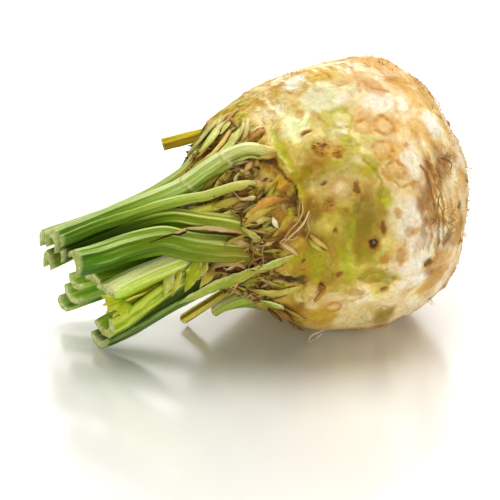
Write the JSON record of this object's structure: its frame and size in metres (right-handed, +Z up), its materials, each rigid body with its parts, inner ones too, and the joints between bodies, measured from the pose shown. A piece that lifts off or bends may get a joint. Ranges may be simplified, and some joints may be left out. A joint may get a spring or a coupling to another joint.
{
  "type": "celeriac root",
  "caption": "Celeriac root on its side: a round knobbly trimmed bulb with a fibrous crown and a bundle of ribbed leaf stalks cut short.",
  "frame": {"origin": "middle of the flat spot under the bulb that it rests on", "axes": "+Z up, +X along the bulb from the leaf crown to the root end, so the leaf stalks point toward -X"},
  "size_m": [0.1807, 0.1176, 0.1138],
  "materials": {
    "bulb_skin": "matte, knife-trimmed skin",
    "stalk_green": "satin, ribbed",
    "stalk_pale_green": "satin, ribbed",
    "dry_stalk": "dry and fibrous"
  },
  "bodies": {
    "root": {"root_bulb": "bulb_skin", "leaf_stalk_top": "stalk_green", "leaf_stalk_front": "stalk_green", "leaf_stalk_low_front": "stalk_pale_green", "leaf_stalk_arched": "stalk_green", "leaf_stalk_thin": "stalk_pale_green", "leaf_stalk_bottom": "stalk_green", "leaf_stalk_low": "stalk_green", "leaf_stalk_inner": "stalk_pale_green", "leaf_stalk_middle": "stalk_green", "leaf_stalk_wide": "stalk_green", "leaf_stalk_far_low": "stalk_green", "leaf_stalk_back": "stalk_green", "leaf_stalk_far": "stalk_green", "leaf_stalk_slender": "stalk_pale_green", "leaf_stalk_yellow": "stalk_pale_green", "dry_stub_upper": "dry_stalk", "dry_stub_lower": "dry_stalk", "green_stub": "stalk_pale_green", "young_leaf": "stalk_pale_green"}
  },
  "joints": []
}
